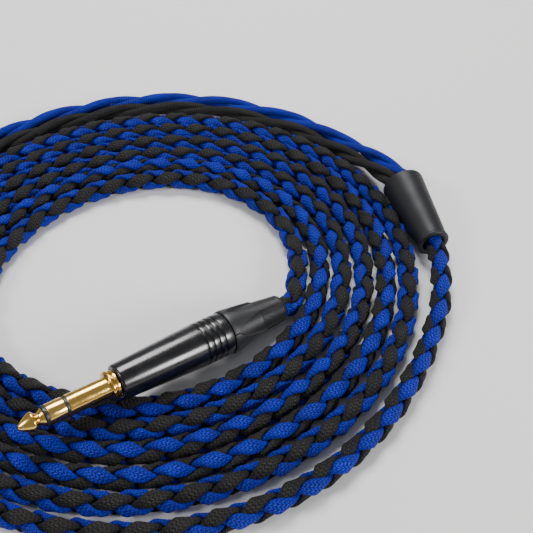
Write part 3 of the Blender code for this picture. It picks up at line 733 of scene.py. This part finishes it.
def connector_nut(prefix, m):
    """The nut behind the shell, with a diamond knurl on its wide part."""
    rows, lines, slope, depth = 44, 30, 2.6, 0.22

    def knurl(radius, z, angle):
        one_way = np.sin(lines / 2 * angle + slope * z)
        other_way = np.sin(lines / 2 * angle - slope * z)
        groove = 1 - np.abs(one_way) * np.abs(other_way)
        inside = np.clip((z - 8.2) / 0.3, 0, 1) * np.clip((12.5 - z) / 0.3, 0, 1)
        return np.where(radius > CONNECTOR_R - 0.01, CONNECTOR_R - depth * groove * inside, radius)

    band = [(CONNECTOR_R, 7.7 + 5.1 * i / rows) for i in range(rows + 1)]
    hole = LEG_D / 2 + GAP
    outline = [(hole, 0.1), (3.7, 0), (4.1, 0.25), (4.4, 0.8), (4.6, 3.0), (4.75, 5.0), (4.9, 6.9),
               (5.2, 7.3), *band, (5.3, 13.0), (4.3, 13.0), (4.3, 4.0), (hole, 3.0)]
    obj = turned(prefix + "_knurled_nut", outline, m, CONNECTOR_NUT_BLACK, 180, knurl)
    return stand_for(obj, "connector_nut_black", prefix + "_nut")


def connector_shell(prefix, m):
    """The metal shell: body, shoulder and nose, with a window and a slot on top for the latch."""
    r, end = CONNECTOR_R, CONNECTOR_LENGTH
    outline = [
        (4.7, 13.3), (r - 0.25, 13.3), (r, 13.55), (r, 15.0), (r - 0.18, 15.15), (r - 0.18, 15.45), (r, 15.6),
        (r, 27.4), (r - 0.5, 28.0), (NOSE_R + 0.15, 28.05), (NOSE_R, 28.3), (NOSE_R, end - 0.35),
        (NOSE_R - 0.35, end), (3.5, end), (3.5, 27.0), (4.7, 27.0),
    ]
    obj = turned(prefix + "_body", fillet(outline, 0.12), m, CONNECTOR_SHELL, 112)
    half = LATCH_WIDTH / 2 + LATCH_CLEARANCE
    cut(obj, block((-half, 2.6, 20.2), (half, 7.0, 26.1), m))
    cut(obj, block((-half, 2.6, 25.0), (half, 4.75, 34.2), m))
    return stand_for(obj, "connector_shell_black", prefix + "_shell")


def connector_insert(prefix, m):
    """The insulating core with four sockets and a channel under the latch."""
    end = CONNECTOR_LENGTH - 0.5
    outline = [(0, 17.0), (3.2, 17.0), (3.2, end - 0.3), (2.9, end), (0, end)]
    obj = turned(prefix + "_core", fillet(outline, 0.1), m, INSULATOR, 64)
    half = LATCH_WIDTH / 2 + LATCH_CLEARANCE
    cut(obj, block((-half, 2.35, 16.0), (half, 4.0, 39.0), m))
    hole = [(0, 16.0), (0.75, 16.0), (0.75, end - 0.2), (0.95, end + 0.1), (0, end + 0.1)]
    for place in contact_places():
        cut(obj, turned("cutter", hole, m @ Matrix.Translation(place * MM), INSULATOR, 24))
    return stand_for(obj, "black_insulator", prefix + "_insert")


def connector_contacts(prefix, m):
    """The four gold sockets, open at the front."""
    end = CONNECTOR_LENGTH - 1.6
    outline = [(0, 15.2), (0.6, 15.2), (0.6, end), (0.4, end), (0.4, end - 7.4), (0, end - 7.4)]
    out = []
    for k, place in enumerate(contact_places()):
        spot = m @ Matrix.Translation(place * MM)
        obj = turned(f"{prefix}_socket_{k + 1}", fillet(outline, 0.06), spot, CONTACT_GOLD, 24)
        out.append(stand_for(obj, "contact_gold", f"{prefix}_contact_{k + 1}"))
    return out


def connector_latch(prefix, m):
    """The push button with three grip ridges, and its hooked arm."""
    ridges = []
    for k in range(3):
        z = 22.0 + 1.2 * k
        ridges += [(6.15, z), (6.35, z + 0.25), (6.35, z + 0.5), (6.15, z + 0.75)]
    outline = [(3.5, 18.0), (4.2, 18.0), (4.2, 20.6), (5.8, 20.6), (6.15, 21.1), *ridges, (6.15, 25.3),
               (5.9, 25.8), (4.2, 25.8), (4.2, 30.6), (4.75, 31.2), (4.75, 32.0), (4.2, 33.4), (3.5, 33.4)]
    count, half = len(outline), LATCH_WIDTH / 2
    verts = [(side * half, y, z) for side in (-1, 1) for y, z in outline]
    faces = [(i, (i + 1) % count, count + (i + 1) % count, count + i) for i in range(count)]
    faces += [tuple(range(count))[::-1], tuple(range(count, 2 * count))]
    obj = new_object(prefix + "_button", verts, faces, materials=[LATCH_STEEL])
    bm = bmesh.new()
    bm.from_mesh(obj.data)
    bmesh.ops.recalc_face_normals(bm, faces=bm.faces)
    bm.to_mesh(obj.data)
    bm.free()
    obj.matrix_world = m
    soft_edges(obj, 0.09)
    return stand_for(obj, "latch_steel", prefix + "_latch", body=prefix + "_latch_button")


def connector(prefix, place):
    """All the pieces of one connector."""
    angle, radius, heading = place
    m = axis_matrix(polar(angle, radius, CONNECTOR_R), along(heading))
    pieces = [connector_nut(prefix, m), connector_shell(prefix, m), connector_insert(prefix, m)]
    return pieces + connector_contacts(prefix, m) + [connector_latch(prefix, m)]


def paint_inner_nodes():
    """The model's own pieces inside the plug, the splitter and the connectors keep their shapes."""
    finishes = {"_lug": BRASS, "crimp": BRASS, "chuck": CHUCK, "_wire_": WIRE}
    for name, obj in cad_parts.items():
        for part, mat in finishes.items():
            if part in name:
                obj.data.materials.clear()
                obj.data.materials.append(mat)


# ---------------------------------------------------------------- the cable


def cords(connectors):
    """The braid and the two legs."""
    cable, line, length = braid("braided_cable", BLUE, BLACK)
    stand_for(cable, "braid_sleeve", "braid_lead", "braid_coil", "braid_tail")
    for name, route, connector_place, sign, sleeve, phase in (
        ("left", LEFT_LEG_ROUTE, LEFT_CONNECTOR, 1, BLUE, 0.3),
        ("right", RIGHT_LEG_ROUTE, RIGHT_CONNECTOR, -1, BLACK, 1.9),
    ):
        side = along(SPLITTER_HEADING - 90) * sign
        pair, line, length = leg(name + "_pair", leg_route(route, connector_place, side), sleeve, phase)
        stand_for(pair, "blue_sleeve" if sign > 0 else "black_sleeve", name + "_leg")


# ---------------------------------------------------------------- studio


def lamp(name, place, size, watts):
    """A round soft lamp that points at the origin."""
    light = bpy.data.lights.new(name, "AREA")
    light.shape, light.size, light.energy = "DISK", size, watts
    obj = bpy.data.objects.new(name, light)
    obj.location = place
    obj.rotation_euler = (-Vector(place)).to_track_quat("-Z", "Y").to_euler()
    bpy.context.scene.collection.objects.link(obj)


def studio():
    """A plain pale floor, an even sky and soft lamps."""
    bm = bmesh.new()
    bmesh.ops.create_grid(bm, x_segments=1, y_segments=1, size=3.0)
    mesh = bpy.data.meshes.new("floor")
    bm.to_mesh(mesh)
    bm.free()
    paper = bpy.data.materials.new("floor")
    paper.use_nodes = True
    shader = paper.node_tree.nodes["Principled BSDF"]
    shader.inputs["Base Color"].default_value = (0.80, 0.79, 0.78, 1)
    shader.inputs["Roughness"].default_value = 0.75
    mesh.materials.append(paper)
    floor = bpy.data.objects.new("floor", mesh)
    bpy.context.scene.collection.objects.link(floor)
    world = bpy.data.worlds.new("studio")
    world.use_nodes = True
    sky = world.node_tree.nodes["Background"]
    sky.inputs["Color"].default_value = (0.95, 0.97, 1.0, 1)
    sky.inputs["Strength"].default_value = 0.32
    bpy.context.scene.world = world
    lamp("key", (0.00, 0.50, 0.75), 0.45, 9.0)
    lamp("right", (0.75, -0.38, 0.36), 0.28, 6.5)
    lamp("left", (-0.70, -0.30, 0.60), 0.30, 4.0)


def camera():
    data = bpy.data.cameras.new("camera")
    data.lens, data.sensor_width = CAMERA_LENS, CAMERA_SENSOR
    data.clip_start = 0.01
    cam = bpy.data.objects.new("camera", data)
    cam.location = (CAMERA_PLACE + COIL_CENTRE) * MM
    cam.rotation_euler = (math.radians(90 - CAMERA_DOWN), 0, 0)
    bpy.context.scene.collection.objects.link(cam)
    bpy.context.scene.camera = cam


camera()
studio()
jack()
barrel()
boot()
splitter()
cords({"left": connector("left", LEFT_CONNECTOR), "right": connector("right", RIGHT_CONNECTOR)})
paint_inner_nodes()
